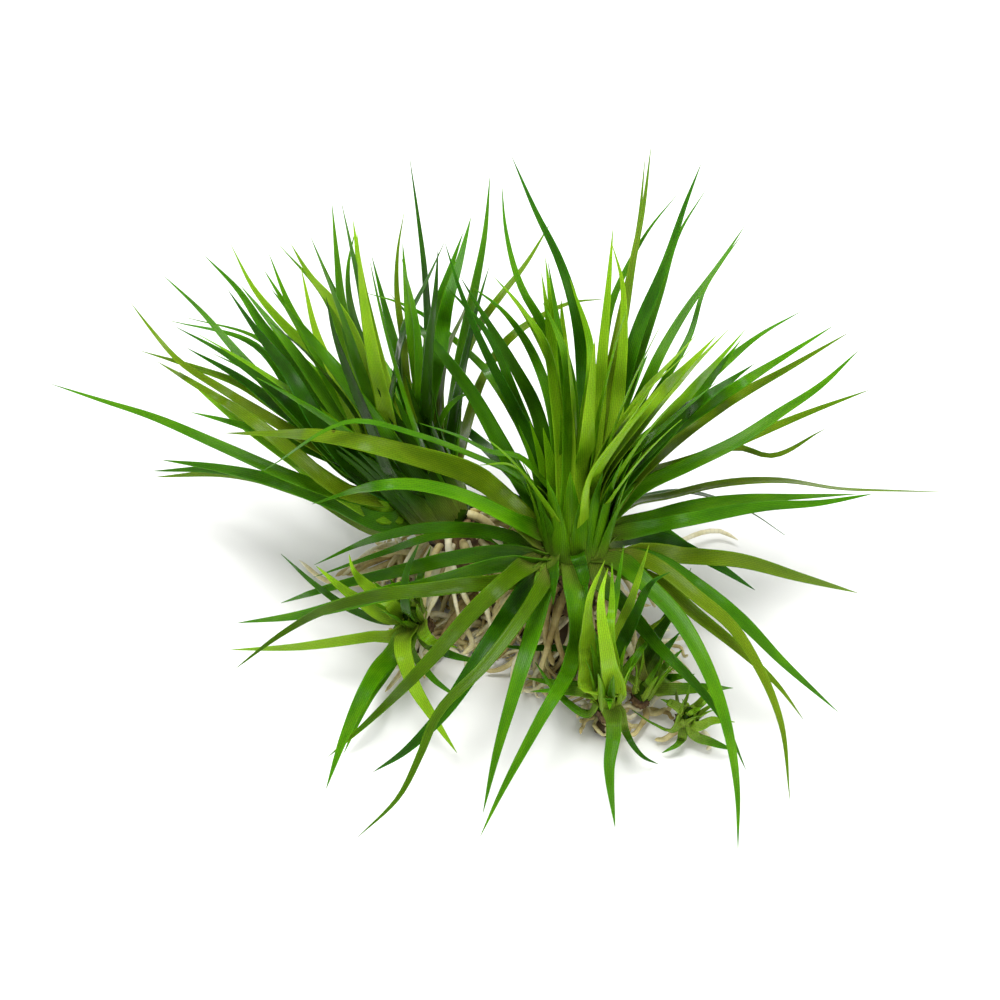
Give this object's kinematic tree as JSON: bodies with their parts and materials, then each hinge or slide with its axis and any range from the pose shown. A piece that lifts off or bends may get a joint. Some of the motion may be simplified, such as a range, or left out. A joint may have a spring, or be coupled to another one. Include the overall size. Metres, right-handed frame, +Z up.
{
  "type": "pipewort plant",
  "caption": "Clump of pipewort, a grass-like aquarium plant: arching tapered leaves in rosettes on one mat of pale roots, resting on a surface",
  "frame": {"origin": "middle of the flat spot under the main plant's roots, on the surface that the clump rests on", "axes": "+Z up; +X to the right and +Y to the back of the picture's view"},
  "size_m": [0.2115, 0.1415, 0.0981],
  "materials": {
    "leaf": "living leaf, mid to dark green with a waxy gloss",
    "young_leaf": "young living leaf, bright yellow-green with a waxy gloss",
    "rootstock": "matt brown rootstock ringed by old leaf scars",
    "root": "pale beige spongy root, matt and slightly translucent"
  },
  "bodies": {
    "root": {"main_rosette": "leaf", "left_rosette": "leaf", "left_offset_rosette": "young_leaf", "front_offset_rosette": "young_leaf", "side_shoot_rosette": "young_leaf", "end_shoot_rosette": "young_leaf", "main_rootstock": "rootstock", "left_rootstock": "rootstock", "left_offset_rootstock": "rootstock", "front_offset_rootstock": "rootstock", "side_shoot_rootstock": "rootstock", "end_shoot_rootstock": "rootstock", "root_mat": "root"}
  },
  "joints": []
}
